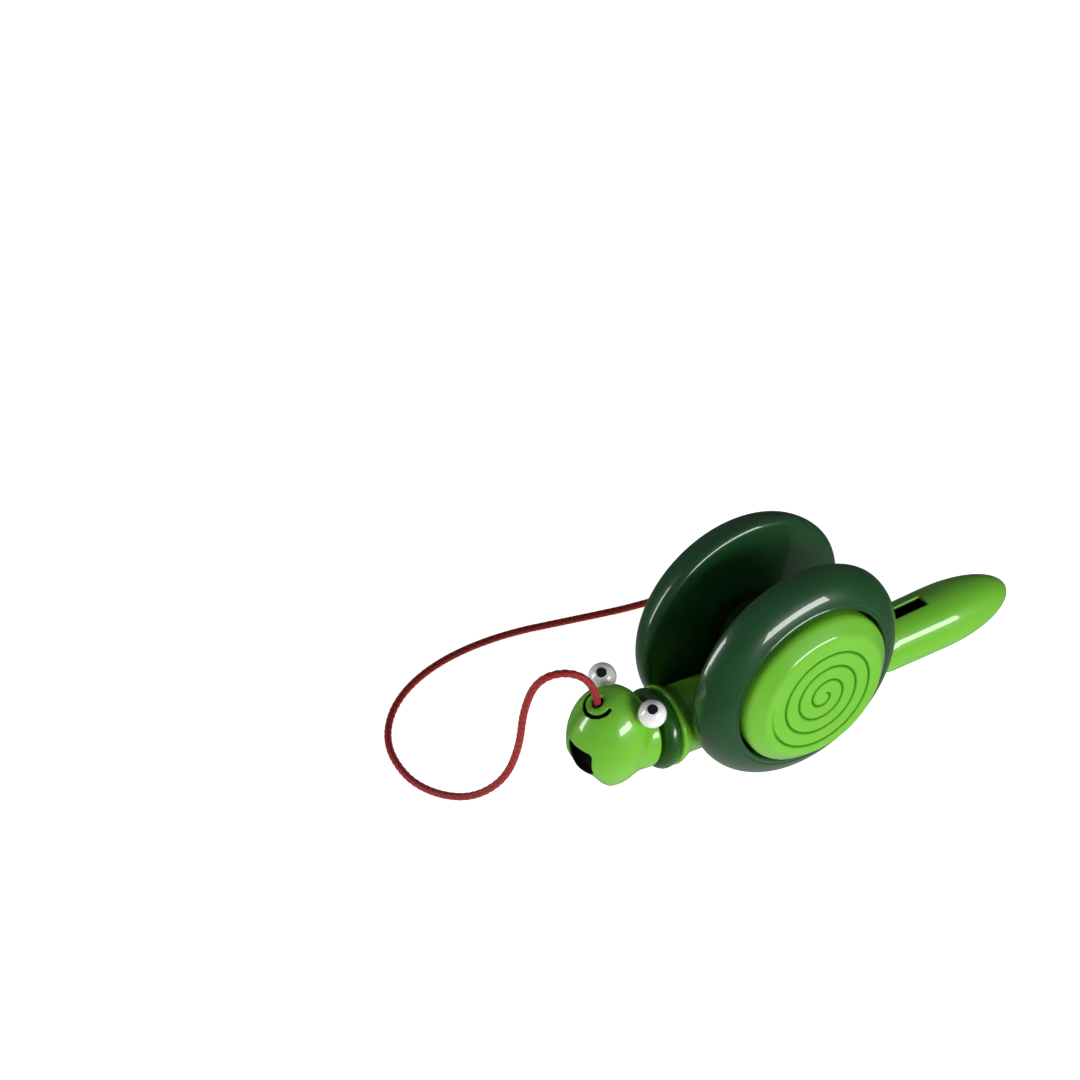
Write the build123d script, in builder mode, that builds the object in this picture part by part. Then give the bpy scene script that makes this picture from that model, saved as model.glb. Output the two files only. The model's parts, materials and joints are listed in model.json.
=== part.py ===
"""A wooden pull-along snail: two big shell wheels, a trunk, a nodding head, a hinged tail and a cord."""
import os
from math import asin, cos, degrees, pi, radians, sin, sqrt, tan

from build123d import *

os.makedirs("parts", exist_ok=True)

# Driving dimensions, in millimetres and degrees.
# The toy stands on z = 0, faces -Y, and its axle runs along X.
WHEEL_RADIUS = 30.0
AXLE_Y = -10.11               # places the origin under the middle of the toy
SPINE_PITCH = 8.0             # the trunk leans back, nose up, by this much
HEAD_PITCH = 12.0             # the neck leans back a little more than the trunk
TAIL_PITCH = 3.45             # the tail lies almost level, its belly on the floor

# Wheels, seen in half section: radius against distance out from the middle of the toy.
WHEEL_INNER_FACE = 9.3
WHEEL_CREST = 11.3            # where the wheel is at its full radius
WHEEL_OUTER_FACE = 19.6
INNER_EDGE_ROUND = 2.0
SHOULDER_DROP = 9.1
RECESS_RADIUS = 22.2
RECESS_FLOOR = 15.5
CAP_RADIUS = 21.3
CAP_RIM = 19.2
CAP_BEVEL_START = 20.8        # the cap's rim gives way to a bevel here
CAP_TOP = 24.0
CAP_FLAT_RADIUS = 17.5        # the bevel ends here
CAP_EDGE_ROUND = 2.4
AXLE_RADIUS = 3.0
AXLE_HALF_LENGTH = 19.0
RUNNING_CLEARANCE = 0.06

# Trunk and the block that carries the axle.
TRUNK_DROP = 15.0             # trunk axis below the axle
TRUNK_RADIUS = 8.8
TRUNK_COLLAR_RADIUS = 10.5
TRUNK_FRONT = -30.5
COLLAR_END = -25.5
TRUNK_REAR = 31.0
SEAT_HEIGHT = 5.0             # flat on the trunk's top, above the trunk's axis
BLOCK_HALF_LENGTH = 9.0
BLOCK_HALF_WIDTH = 7.8
WASHER_RADIUS = 6.0
WASHER_THICKNESS = 1.2
DOWEL_RADIUS = 2.0
DOWEL_SPACING = 10.0
DOWEL_DEPTH = 8.0             # into the trunk, below the seat
DOWEL_RISE = 5.0              # into the block, above the seat

# Neck and tail hinges: a flat tongue in a slot, on a cross pin.
TONGUE_THICKNESS = 3.0
TONGUE_HALF_HEIGHT = 4.5
SLOT_WIDTH = 3.5
TONGUE_BITE = 6.5             # how far the head's tongue is glued into the head
NECK_PIN_ALONG = -32.6
NECK_PIN_RADIUS = 1.2
RING_RADIUS = 10.4
RING_HALF_THICKNESS = 2.1
TAIL_PIN_ALONG = 40.0
TAIL_PIN_RADIUS = 1.5

# Head: an egg standing on end, with a round neck behind it.
EGG_RADIUS = 10.25
EGG_HALF_HEIGHT = 14.0
EGG_ALONG = -46.5
EGG_DROP = 11.5               # egg's centre below the axle, square to the spine
NECK_RADIUS = 8.8
NECK_FACE = 3.5               # the neck's rear face, ahead of the neck pin
FACE_YAW = 6.0                # the mouth is turned this far towards the toy's left
MOUTH_TOP = 1.0               # above the egg's centre
MOUTH_HEIGHT = 7.0
MOUTH_BACK = -6.0             # aft of the egg's centre
MOUTH_CORNER_ROUND = 2.2
MOUTH_HALF_WIDTH = 4.4
CHIN_TOP = (-12.5, -0.14)     # the chin is cut back behind a sloping line between these two places
CHIN_FOOT = (0.03, -16.0)
CORD_BORE_RADIUS = 1.3
CORD_BORE_LEAN = 15.0         # the bore leans forward from the egg's axis
KNOT_POCKET_RADIUS = 3.0
KNOT_POCKET_DEPTH = 4.0
EYE_RADIUS = 3.5
EYES = {                      # aft of, above and left of the egg's centre
    "left": (5.5, 11.4, 9.1),
    "right": (3.9, 9.9, -9.7),
}
EYE_PEG_RADIUS = 1.2
EYE_PEG_LENGTH = 8.0          # from the bead's centre into the head
EYE_PEG_AIM = 5.0             # the pegs point at the egg's axis, this far above its centre
PUPIL_RADIUS = 1.3
PUPIL_DEPTH = 0.8
GAZES = {"left": (0.38, -0.22, 0.90), "right": (0.36, -0.30, 0.88)}

# Tail.
TAIL_RADIUS = 8.4
TAIL_LENGTH = 40.7            # from the tail pin to the tip
TAIL_TAPER = 23.0
TAIL_SLOT_END = 12.6

# Cord.
CORD_RADIUS = 1.0
CORD_LENGTH = 500.0
CORD_ROUTE = [
    (0.0, -60.46, 38.1),
    (0.0, -61.3, 45.1),
    (-3.1, -66.8, 49.4),
    (-6.6, -73.0, 47.1),
    (-8.4, -76.2, 37.8),
    (-9.3, -77.5, 24.9),
    (-11.7, -80.8, 13.6),
    (-17.1, -87.0, 6.2),
    (-26.5, -92.4, 2.6),
    (-38.0, -95.0, 1.0),
    (-52.0, -92.5, 1.0),
    (-63.5, -82.0, 1.0),
    (-69.0, -66.0, 1.0),
    (-68.0, -47.0, 1.0),
    (-61.5, -28.0, 1.0),
    (-55.5, -10.0, 1.0),
    (-52.8, 8.6, 1.0),
]
DROP_POINTS = 7               # the first points of the route, which move with the head
DROP_GAP = 1.3                # between the stretch that moves and the stretch that lies
END_KNOT_RADIUS = 2.4
END_KNOT_SINK = 2.0           # the knot's centre stands this far above the coil
COIL_CENTRE = (-41.0, 14.0)
COIL_RADIUS = 10.0            # at the middle of the bundle of turns
BUNDLE_WIDTH = 8.0            # four cords beside each other
BUNDLE_HEIGHT = 4.0           # in two layers
TIE_THICKNESS = 0.7
TIE_WIDTH = 5.0


def side_plane(along, above, lean):
    """Upright lengthwise plane at a point of the spine: x runs aft, y up and z to the toy's left."""
    pitch = radians(SPINE_PITCH)
    y = AXLE_Y + along * cos(pitch) + above * sin(pitch)
    z = WHEEL_RADIUS + above * cos(pitch) - along * sin(pitch)
    return Plane(origin=(0, y, z), x_dir=(0, cos(radians(lean)), -sin(radians(lean))), z_dir=(1, 0, 0))


def lathe_axis(plane):
    """The plane's own x direction, through its origin."""
    return Axis(plane.origin, plane.x_dir)


def save(builder, name):
    """Label one finished piece and write it."""
    builder.part.label = name
    export_step(builder.part, f"parts/{name}.step")


axle_section = Plane(origin=(0, AXLE_Y, WHEEL_RADIUS), x_dir=(1, 0, 0), z_dir=(0, -1, 0))
axle_line = Axis(axle_section.origin, (1, 0, 0))
axle_side = side_plane(0, 0, SPINE_PITCH)
trunk_side = side_plane(0, -TRUNK_DROP, SPINE_PITCH)
seat_plane = Plane(trunk_side.origin, x_dir=trunk_side.x_dir, z_dir=trunk_side.y_dir).offset(SEAT_HEIGHT)
ring_side = side_plane(NECK_PIN_ALONG, -TRUNK_DROP, SPINE_PITCH)
neck_side = side_plane(NECK_PIN_ALONG, -TRUNK_DROP, HEAD_PITCH)
egg_side = side_plane(EGG_ALONG, -EGG_DROP, SPINE_PITCH)
tail_side = side_plane(TAIL_PIN_ALONG, -TRUNK_DROP, TAIL_PITCH)

# ---------------------------------------------------------------- trunk and axle block

with BuildPart() as trunk:
    with BuildSketch(trunk_side):
        with BuildLine():
            Polyline((TRUNK_FRONT, 0), (TRUNK_FRONT, TRUNK_COLLAR_RADIUS - 0.6))
            Line((TRUNK_FRONT, TRUNK_COLLAR_RADIUS - 0.6), (TRUNK_FRONT + 0.6, TRUNK_COLLAR_RADIUS))
            Spline(
                (TRUNK_FRONT + 0.6, TRUNK_COLLAR_RADIUS),
                (COLLAR_END, TRUNK_RADIUS),
                tangents=((1, -0.1), (1, 0)),
            )
            Line((COLLAR_END, TRUNK_RADIUS), (TRUNK_REAR, TRUNK_RADIUS))
            Polyline((TRUNK_REAR, TRUNK_RADIUS), (TRUNK_REAR, 0), (TRUNK_FRONT, 0))
        make_face()
    revolve(axis=lathe_axis(trunk_side))
    fillet(trunk.edges().filter_by(GeomType.CIRCLE).sort_by(Axis.Y)[-1], 1.2)
    # Flat seat for the axle block.
    with BuildSketch(trunk_side):
        with Locations((0, SEAT_HEIGHT)):
            Rectangle(2 * BLOCK_HALF_LENGTH, 2 * TRUNK_RADIUS, align=(Align.CENTER, Align.MIN))
    extrude(amount=TRUNK_RADIUS + 1, both=True, mode=Mode.SUBTRACT)
    # Holes for the two block dowels.
    with BuildSketch(seat_plane.offset(-DOWEL_DEPTH)):
        with GridLocations(DOWEL_SPACING, 1, 2, 1):
            Circle(DOWEL_RADIUS)
    extrude(amount=DOWEL_DEPTH, mode=Mode.SUBTRACT)
    # Round pocket behind the neck ring, where the head's tongue turns.
    with BuildSketch(ring_side):
        Circle(TONGUE_HALF_HEIGHT + 0.4)
    extrude(amount=SLOT_WIDTH / 2, both=True, mode=Mode.SUBTRACT)
    # Slot for the tail's tongue, which is glued in.
    with BuildSketch(trunk_side):
        with Locations((TRUNK_REAR, 0)):
            Rectangle(10, 2 * TONGUE_HALF_HEIGHT, align=(Align.MAX, Align.CENTER))
    extrude(amount=TONGUE_THICKNESS / 2, both=True, mode=Mode.SUBTRACT)
save(trunk, "trunk")

with BuildPart() as axle_block:
    with BuildSketch(axle_side):
        Circle(BLOCK_HALF_LENGTH)
        Rectangle(2 * BLOCK_HALF_LENGTH, TRUNK_DROP - SEAT_HEIGHT, align=(Align.CENTER, Align.MAX))
        Circle(AXLE_RADIUS + RUNNING_CLEARANCE, mode=Mode.SUBTRACT)
    extrude(amount=BLOCK_HALF_WIDTH, both=True)
    with BuildSketch(seat_plane):
        with GridLocations(DOWEL_SPACING, 1, 2, 1):
            Circle(DOWEL_RADIUS)
    extrude(amount=DOWEL_RISE, mode=Mode.SUBTRACT)
save(axle_block, "axle_block")

with BuildPart() as block_dowels:
    with BuildSketch(seat_plane.offset(-DOWEL_DEPTH)):
        with GridLocations(DOWEL_SPACING, 1, 2, 1):
            Circle(DOWEL_RADIUS)
    extrude(amount=DOWEL_DEPTH + DOWEL_RISE)
save(block_dowels, "block_dowels")

# ---------------------------------------------------------------- neck ring and its pin

with BuildPart() as neck_ring:
    with BuildSketch(ring_side):
        with BuildLine():
            rim_centre = RING_RADIUS - RING_HALF_THICKNESS
            Line((RING_HALF_THICKNESS, 0), (RING_HALF_THICKNESS, rim_centre))
            ThreePointArc(
                (RING_HALF_THICKNESS, rim_centre),
                (0, RING_RADIUS),
                (-RING_HALF_THICKNESS, rim_centre),
            )
            Polyline((-RING_HALF_THICKNESS, rim_centre), (-RING_HALF_THICKNESS, 0), (RING_HALF_THICKNESS, 0))
        make_face()
    revolve(axis=lathe_axis(ring_side))
    with BuildSketch(ring_side):
        Rectangle(4 * RING_HALF_THICKNESS, 2 * TONGUE_HALF_HEIGHT + 1.4)
    extrude(amount=SLOT_WIDTH / 2, both=True, mode=Mode.SUBTRACT)
    with BuildSketch(ring_side):
        Circle(NECK_PIN_RADIUS)
    extrude(amount=RING_RADIUS + 1, both=True, mode=Mode.SUBTRACT)
save(neck_ring, "neck_ring")

with BuildPart() as neck_pin:
    with BuildSketch(ring_side):
        Circle(NECK_PIN_RADIUS)
    extrude(amount=RING_RADIUS - 0.3, both=True)
save(neck_pin, "neck_pin")

# ---------------------------------------------------------------- tail hinge

with BuildPart() as tail_tongue:
    with BuildSketch(trunk_side):
        with Locations((TAIL_PIN_ALONG, 0)):
            Rectangle(
                TAIL_PIN_ALONG - TRUNK_REAR + 10, 2 * TONGUE_HALF_HEIGHT, align=(Align.MAX, Align.CENTER)
            )
            Circle(TONGUE_HALF_HEIGHT)
            Circle(TAIL_PIN_RADIUS, mode=Mode.SUBTRACT)
    extrude(amount=TONGUE_THICKNESS / 2, both=True)
save(tail_tongue, "tail_tongue")

with BuildPart() as tail_pin:
    with BuildSketch(tail_side):
        Circle(TAIL_PIN_RADIUS)
    extrude(amount=TAIL_RADIUS - 0.5, both=True)
save(tail_pin, "tail_pin")

with BuildPart() as tail:
    taper_start = TAIL_LENGTH - TAIL_TAPER
    with BuildSketch(tail_side):
        with BuildLine():
            front = -TAIL_RADIUS + 0.2
            ThreePointArc((front, 0), (front * sqrt(0.5), -front * sqrt(0.5)), (0, -front))
            Spline((0, -front), (taper_start, TAIL_RADIUS), tangents=((1, 0), (1, 0)))
            EllipticalCenterArc((taper_start, 0), TAIL_TAPER, TAIL_RADIUS, 0, arc_size=90)
            Line((TAIL_LENGTH, 0), (front, 0))
        make_face()
    revolve(axis=lathe_axis(tail_side))
    with BuildSketch(tail_side):
        with Locations((TAIL_SLOT_END, 0)):
            Rectangle(TAIL_SLOT_END + TAIL_RADIUS + 1, 3 * TAIL_RADIUS, align=(Align.MAX, Align.CENTER))
    extrude(amount=SLOT_WIDTH / 2, both=True, mode=Mode.SUBTRACT)
    with BuildSketch(tail_side):
        Circle(TAIL_PIN_RADIUS + RUNNING_CLEARANCE)
    extrude(amount=TAIL_RADIUS + 1, both=True, mode=Mode.SUBTRACT)
save(tail, "tail")

# ---------------------------------------------------------------- wheels

with BuildPart() as axle:
    with BuildSketch(axle_section):
        Rectangle(2 * AXLE_HALF_LENGTH, AXLE_RADIUS, align=(Align.CENTER, Align.MIN))
    revolve(axis=axle_line)
save(axle, "axle")

with BuildPart() as washer_left:
    with BuildSketch(axle_section):
        with Locations((WHEEL_INNER_FACE, AXLE_RADIUS)):
            Rectangle(WASHER_THICKNESS, WASHER_RADIUS - AXLE_RADIUS, align=(Align.MAX, Align.MIN))
    revolve(axis=axle_line)
save(washer_left, "washer_left")

with BuildPart() as wheel_left:
    with BuildSketch(axle_section):
        with BuildLine():
            crest = (WHEEL_CREST, WHEEL_RADIUS)
            inner_edge = (WHEEL_INNER_FACE, WHEEL_RADIUS - INNER_EDGE_ROUND)
            shoulder_depth = WHEEL_OUTER_FACE - WHEEL_CREST
            shoulder_base = WHEEL_RADIUS - SHOULDER_DROP
            lip_angle = degrees(asin((RECESS_RADIUS - shoulder_base) / SHOULDER_DROP))
            lip = (WHEEL_CREST + shoulder_depth * cos(radians(lip_angle)), RECESS_RADIUS)
            EllipticalCenterArc(
                (WHEEL_CREST, shoulder_base),
                shoulder_depth,
                SHOULDER_DROP,
                lip_angle,
                arc_size=90 - lip_angle,
            )
            ThreePointArc(
                inner_edge,
                (
                    WHEEL_CREST - INNER_EDGE_ROUND * sqrt(0.5),
                    WHEEL_RADIUS - INNER_EDGE_ROUND + INNER_EDGE_ROUND * sqrt(0.5),
                ),
                crest,
            )
            Polyline(
                lip,
                (RECESS_FLOOR, RECESS_RADIUS),
                (RECESS_FLOOR, AXLE_RADIUS),
                (WHEEL_INNER_FACE, AXLE_RADIUS),
                inner_edge,
            )
        make_face()
    revolve(axis=axle_line)
save(wheel_left, "wheel_left")

with BuildPart() as shell_cap_left:
    with BuildSketch(axle_section):
        with BuildLine():
            Polyline((RECESS_FLOOR, AXLE_RADIUS), (RECESS_FLOOR, CAP_RADIUS), (CAP_RIM, CAP_RADIUS))
            FilletPolyline(
                (CAP_RIM, CAP_RADIUS),
                (CAP_BEVEL_START, CAP_RADIUS),
                (CAP_TOP, CAP_FLAT_RADIUS),
                (CAP_TOP, 0),
                radius=CAP_EDGE_ROUND,
            )
            Polyline(
                (CAP_TOP, 0),
                (AXLE_HALF_LENGTH, 0),
                (AXLE_HALF_LENGTH, AXLE_RADIUS),
                (RECESS_FLOOR, AXLE_RADIUS),
            )
        make_face()
    revolve(axis=axle_line)
save(shell_cap_left, "shell_cap_left")

left_pieces = {"washer_right": washer_left, "wheel_right": wheel_left, "shell_cap_right": shell_cap_left}
for name, left in left_pieces.items():
    with BuildPart() as right:
        mirror(left.part, about=Plane.YZ)
    save(right, name)

# ---------------------------------------------------------------- head

bore_tilt = radians(CORD_BORE_LEAN)
bore_up = egg_side.y_dir * cos(bore_tilt) - egg_side.x_dir * sin(bore_tilt)
bore_foot = egg_side.from_local_coords((2.45, -13.6, 0))
bore_plane = Plane(origin=bore_foot, x_dir=(1, 0, 0), z_dir=bore_up)
face_side = egg_side.rotated((0, FACE_YAW, 0))
peg_aim = egg_side.from_local_coords((0, EYE_PEG_AIM, 0))
eye_planes = {}
for name, place in EYES.items():
    eye_centre = egg_side.from_local_coords(place)
    eye_planes[name] = Plane(eye_centre, z_dir=peg_aim - eye_centre)

with BuildPart() as head:
    with BuildSketch(egg_side):
        with BuildLine():
            EllipticalCenterArc((0, 0), EGG_RADIUS, EGG_HALF_HEIGHT, -90, arc_size=180)
            Line((0, EGG_HALF_HEIGHT), (0, -EGG_HALF_HEIGHT))
        make_face()
    revolve(axis=Axis(egg_side.origin, egg_side.y_dir))
    with BuildSketch(neck_side):
        with Locations((-NECK_FACE, 0)):
            Rectangle(11, NECK_RADIUS, align=(Align.MAX, Align.MIN))
    revolve(axis=lathe_axis(neck_side))
    fillet(head.edges().filter_by(GeomType.CIRCLE).group_by(Axis.Y)[-1], 0.6)
    # Mouth: a notch across the front with rounded inner corners, above a chin that is cut back.
    with BuildSketch(face_side):
        with Locations((MOUTH_BACK, MOUTH_TOP)):
            RectangleRounded(10, MOUTH_HEIGHT, MOUTH_CORNER_ROUND, align=(Align.MAX, Align.MAX))
    extrude(amount=MOUTH_HALF_WIDTH, both=True, mode=Mode.SUBTRACT)
    with BuildSketch(face_side):
        with BuildLine():
            Polyline(CHIN_TOP, CHIN_FOOT, (CHIN_TOP[0], CHIN_FOOT[1]), CHIN_TOP)
        make_face()
    extrude(amount=EGG_RADIUS, both=True, mode=Mode.SUBTRACT)
    # Cord bore from the nose to a knot pocket under the chin.
    with BuildSketch(bore_plane):
        Circle(CORD_BORE_RADIUS)
    extrude(amount=3 * EGG_HALF_HEIGHT, both=True, mode=Mode.SUBTRACT)
    with BuildSketch(bore_plane):
        Circle(KNOT_POCKET_RADIUS)
    extrude(amount=KNOT_POCKET_DEPTH, both=True, mode=Mode.SUBTRACT)
    # Slot for the head's tongue, which is glued in.
    with BuildSketch(neck_side):
        with Locations((-NECK_FACE, 0)):
            Rectangle(TONGUE_BITE, 2 * TONGUE_HALF_HEIGHT, align=(Align.MAX, Align.CENTER))
    extrude(amount=TONGUE_THICKNESS / 2, both=True, mode=Mode.SUBTRACT)
    # A hole for each eye's peg, and a dimple for its bead.
    with BuildSketch(*eye_planes.values()):
        Circle(EYE_PEG_RADIUS)
    extrude(amount=EYE_PEG_LENGTH, mode=Mode.SUBTRACT)
    with Locations(*[plane.origin for plane in eye_planes.values()]):
        Sphere(EYE_RADIUS, mode=Mode.SUBTRACT)
save(head, "head")

with BuildPart() as head_tongue:
    with BuildSketch(neck_side):
        Rectangle(NECK_FACE + TONGUE_BITE, 2 * TONGUE_HALF_HEIGHT, align=(Align.MAX, Align.CENTER))
        Circle(TONGUE_HALF_HEIGHT)
        Circle(NECK_PIN_RADIUS + RUNNING_CLEARANCE, mode=Mode.SUBTRACT)
    extrude(amount=TONGUE_THICKNESS / 2, both=True)
save(head_tongue, "head_tongue")

# Each eye bead sits on a peg of its own.
with BuildPart() as eye_peg:
    with BuildSketch(*eye_planes.values()):
        Circle(EYE_PEG_RADIUS)
    extrude(amount=EYE_PEG_LENGTH)
save(eye_peg, "eye_peg")

# Each bead is turned about its own line of gaze, with a round pocket for the pupil.
rim = (sqrt(EYE_RADIUS**2 - PUPIL_RADIUS**2), PUPIL_RADIUS)
pocket_floor = EYE_RADIUS - PUPIL_DEPTH
for name, gaze in GAZES.items():
    eye_centre = eye_planes[name].origin
    gaze_section = Plane(eye_centre, x_dir=gaze, z_dir=Vector(*gaze).cross(Vector(1, 0, 0)))
    with BuildPart() as pupil:
        with BuildSketch(gaze_section):
            with BuildLine():
                Polyline(rim, (pocket_floor, PUPIL_RADIUS), (pocket_floor, 0), (EYE_RADIUS, 0))
                RadiusArc((EYE_RADIUS, 0), rim, -EYE_RADIUS)
            make_face()
        revolve(axis=lathe_axis(gaze_section))
    save(pupil, f"pupil_{name}")
    with BuildPart() as eye:
        with BuildSketch(gaze_section):
            with BuildLine():
                ThreePointArc(rim, (0, EYE_RADIUS), (-EYE_RADIUS, 0))
                Polyline((-EYE_RADIUS, 0), (pocket_floor, 0), (pocket_floor, PUPIL_RADIUS), rim)
            make_face()
        revolve(axis=lathe_axis(gaze_section))
        with BuildSketch(eye_planes[name]):
            Circle(EYE_PEG_RADIUS)
        extrude(amount=EYE_PEG_LENGTH, mode=Mode.SUBTRACT)
    save(eye, f"eye_{name}")

# ---------------------------------------------------------------- cord

# The anchor knot sits in the pocket under the chin, with the cord's first stretch up the bore.
nose_exit = Vector(*CORD_ROUTE[0])
bore_length = (nose_exit - bore_foot).dot(bore_up)
with BuildPart() as cord_anchor:
    with BuildSketch(bore_plane.offset(1.2)):
        Circle(2.2)
    extrude(amount=KNOT_POCKET_DEPTH - 1.2)
    fillet(cord_anchor.edges().filter_by(GeomType.CIRCLE), 0.9)
    with BuildSketch(bore_plane.offset(2)):
        Circle(CORD_RADIUS)
    extrude(amount=bore_length - 2)
save(cord_anchor, "cord_anchor")
exit_offset = nose_exit - bore_foot - bore_up * bore_length
print("route starts off the bore's line by", round(exit_offset.length, 2))
print("bore direction", [round(value, 3) for value in bore_up])


def bend_radii(route):
    """Each corner's arc: 0.45 of its shorter run, divided by the tangent of half its turn."""
    radii = []
    for before, corner, after in zip(route, route[1:], route[2:]):
        run_in = Vector(*corner) - Vector(*before)
        run_out = Vector(*after) - Vector(*corner)
        half_turn = radians(run_in.get_angle(run_out)) / 2
        radii.append(0.45 * min(run_in.length, run_out.length) / tan(half_turn))
    return radii


# The stretch that hangs from the nose moves with the head, the rest stays with the trunk.
# They part in the middle of a straight run, far enough to pass each other as the head nods.
last_hung, first_laid = Vector(*CORD_ROUTE[DROP_POINTS - 1]), Vector(*CORD_ROUTE[DROP_POINTS])
meeting = (last_hung + first_laid) / 2
half_gap = (first_laid - last_hung).normalized() * DROP_GAP / 2
drop_route = CORD_ROUTE[:DROP_POINTS] + [tuple(meeting - half_gap)]
floor_route = [tuple(meeting + half_gap)] + CORD_ROUTE[DROP_POINTS:]
laid_length = 0.0
for name, route in (("cord_drop", drop_route), ("cord_run", floor_route)):
    radii = bend_radii(route)
    with BuildPart() as tube:
        with BuildLine() as path:
            FilletPolyline(*route, radius=radii)
        with BuildSketch(Plane(route[0], z_dir=Vector(*route[1]) - Vector(*route[0]))):
            Circle(CORD_RADIUS)
        sweep()
    save(tube, name)
    tube_length = path.wires()[0].length
    laid_length += tube_length
    print(name, "length", round(tube_length, 1), "radii", [round(radius, 1) for radius in radii])
    print("  volume / (section x length)", round(tube.part.volume / (pi * CORD_RADIUS**2 * tube_length), 4))
coil_length = CORD_LENGTH - laid_length
print("left for the coil", round(coil_length, 1), "turns", round(coil_length / (2 * pi * COIL_RADIUS), 2))

# The rest of the cord: a neat coil, tied once, with a knot at its end.
tie_place = (COIL_CENTRE[0], COIL_CENTRE[1] + COIL_RADIUS, BUNDLE_HEIGHT / 2)
tied_size = (TIE_WIDTH, BUNDLE_WIDTH - 2 * TIE_THICKNESS, BUNDLE_HEIGHT - 2 * TIE_THICKNESS)

with BuildPart() as cord_tie:
    with Locations(tie_place):
        Box(TIE_WIDTH, BUNDLE_WIDTH, BUNDLE_HEIGHT)
        Box(*tied_size, mode=Mode.SUBTRACT)
save(cord_tie, "cord_tie")

with BuildPart() as cord_coil:
    with Locations((*COIL_CENTRE, BUNDLE_HEIGHT / 2)):
        Cylinder(COIL_RADIUS + BUNDLE_WIDTH / 2, BUNDLE_HEIGHT)
        Cylinder(COIL_RADIUS - BUNDLE_WIDTH / 2, BUNDLE_HEIGHT, mode=Mode.SUBTRACT)
    with Locations(tie_place):
        Box(TIE_WIDTH, 2 * BUNDLE_WIDTH, 2 * BUNDLE_HEIGHT, mode=Mode.SUBTRACT)
        Box(*tied_size)
save(cord_coil, "cord_coil")

with BuildPart() as cord_end_knot:
    with Locations((COIL_CENTRE[0] + COIL_RADIUS, COIL_CENTRE[1], BUNDLE_HEIGHT + END_KNOT_SINK)):
        Sphere(END_KNOT_RADIUS)
    split(bisect_by=Plane.XY.offset(BUNDLE_HEIGHT), keep=Keep.TOP)
save(cord_end_knot, "cord_end_knot")

for name, plane in (("axle", axle_side), ("neck pin", ring_side), ("tail pin", tail_side)):
    print(name, "at", [round(value, 3) for value in plane.origin])
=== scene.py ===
# A wooden pull-along snail: the finished surfaces, materials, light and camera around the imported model.
import json
from math import asin, cos, pi, radians, sin, sqrt

import bpy
import numpy as np
from mathutils import Matrix, Vector


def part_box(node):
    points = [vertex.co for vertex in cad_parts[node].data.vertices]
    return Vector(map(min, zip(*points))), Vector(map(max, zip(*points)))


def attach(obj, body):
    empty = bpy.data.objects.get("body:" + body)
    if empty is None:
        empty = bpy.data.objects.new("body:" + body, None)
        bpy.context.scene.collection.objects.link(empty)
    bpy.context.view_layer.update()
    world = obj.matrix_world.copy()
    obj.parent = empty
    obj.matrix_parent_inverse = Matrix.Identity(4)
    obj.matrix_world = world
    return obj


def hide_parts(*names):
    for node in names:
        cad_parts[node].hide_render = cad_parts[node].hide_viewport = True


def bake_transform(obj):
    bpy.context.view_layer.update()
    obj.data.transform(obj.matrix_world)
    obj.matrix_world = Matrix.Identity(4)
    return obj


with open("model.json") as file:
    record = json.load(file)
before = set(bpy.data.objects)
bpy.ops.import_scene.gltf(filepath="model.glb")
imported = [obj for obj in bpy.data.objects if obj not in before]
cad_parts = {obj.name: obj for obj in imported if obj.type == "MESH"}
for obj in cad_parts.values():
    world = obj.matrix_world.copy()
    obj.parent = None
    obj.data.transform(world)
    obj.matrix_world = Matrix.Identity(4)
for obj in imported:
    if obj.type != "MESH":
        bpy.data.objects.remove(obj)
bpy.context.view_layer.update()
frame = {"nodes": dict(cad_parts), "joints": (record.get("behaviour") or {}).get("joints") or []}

MM = 0.001                    # one millimetre, in metres. Shapes are worked out in millimetres.


def corners(node):
    """Lowest and highest corner of a CAD node, in millimetres."""
    low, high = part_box(node)
    return np.array(low) / MM, np.array(high) / MM


def joint_place(name):
    """Where a joint's axis crosses the middle of the toy, in millimetres."""
    return np.array(next(joint["pos_m"] for joint in frame["joints"] if joint["name"] == name)) / MM


# ---------------------------------------------------------------- places and sizes, from the frame

AXLE = joint_place("wheelset_spin")
NECK_PIN = joint_place("head_nod")
TAIL_PIN = joint_place("tail_lift")
SPINE_LEAN = np.degrees(np.arctan2(NECK_PIN[2] - TAIL_PIN[2], TAIL_PIN[1] - NECK_PIN[1]))
HEAD_LEAN = 12.0
TAIL_LEAN = 3.45

WHEEL_RADIUS = corners("wheel_left")[1][2] - AXLE[2]
WHEEL_INNER_FACE = corners("wheel_left")[0][0]
WHEEL_CREST = WHEEL_INNER_FACE + 2.0
WHEEL_OUTER_FACE = WHEEL_CREST + 8.3
SHOULDER_DROP = 9.1
RECESS_RADIUS = 22.2
LIP_ROUND = 0.45
CAP_FOOT, CAP_TOP = corners("shell_cap_left")[0][0], corners("shell_cap_left")[1][0]
CAP_RADIUS = corners("shell_cap_left")[1][2] - AXLE[2]
CAP_BEVEL_START = 20.8
CAP_FLAT_RADIUS = 17.5
CAP_EDGE_ROUND = 2.4

TRUNK_RADIUS = 8.8
TRUNK_COLLAR_RADIUS = 10.5
TRUNK_FRONT, TRUNK_REAR = 2.1, 63.6        # behind the neck pin
COLLAR_LENGTH = 5.0
TRUNK_END_ROUND = 0.9
SEAT_EDGE_ROUND = 0.2
AXLE_ABOVE_TRUNK = 15.0
SEAT_HEIGHT = 5.0
BLOCK_HALF_LENGTH = 9.0
BLOCK_HALF_WIDTH = corners("axle_block")[1][0]
BLOCK_EDGE_ROUND = 0.8
AXLE_RADIUS = 3.0
AXLE_CLEARANCE = 0.06

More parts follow.
